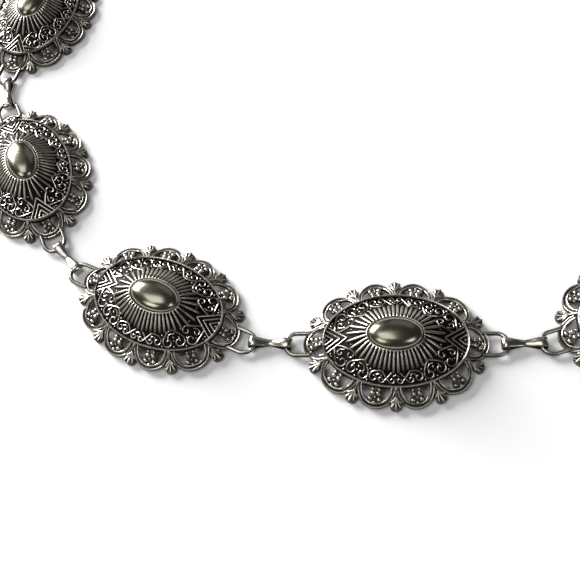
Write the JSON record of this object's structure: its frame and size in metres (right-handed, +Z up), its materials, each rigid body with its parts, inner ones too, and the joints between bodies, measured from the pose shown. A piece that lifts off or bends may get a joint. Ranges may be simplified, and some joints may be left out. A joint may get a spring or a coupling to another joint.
{
  "type": "concho belt",
  "caption": "Chain belt of oval cast conchos with pierced scalloped borders and domed centres, joined by folded band links and closed by a hook, lying in a loop.",
  "frame": {"origin": "middle of the belt's outline, on the surface that it lies on", "axes": "+X along the belt's longest extent, from the wearer's one hip to the other; +Y across the loop; +Z up"},
  "size_m": [0.3382, 0.2844, 0.0144],
  "materials": {
    "antique_silver": "antiqued silver plate, dark in the recesses and polished on the raised parts"
  },
  "bodies": {
    "root": {"concho_01": "antique_silver", "concho_02": "antique_silver", "concho_03": "antique_silver", "concho_04": "antique_silver", "concho_05": "antique_silver", "concho_06": "antique_silver", "concho_07": "antique_silver", "concho_08": "antique_silver", "concho_09": "antique_silver", "concho_10": "antique_silver", "link_01": "antique_silver", "link_02": "antique_silver", "link_03": "antique_silver", "link_04": "antique_silver", "link_05": "antique_silver", "link_06": "antique_silver", "link_07": "antique_silver", "link_08": "antique_silver", "link_09": "antique_silver", "hook_clasp": "antique_silver"}
  },
  "joints": []
}
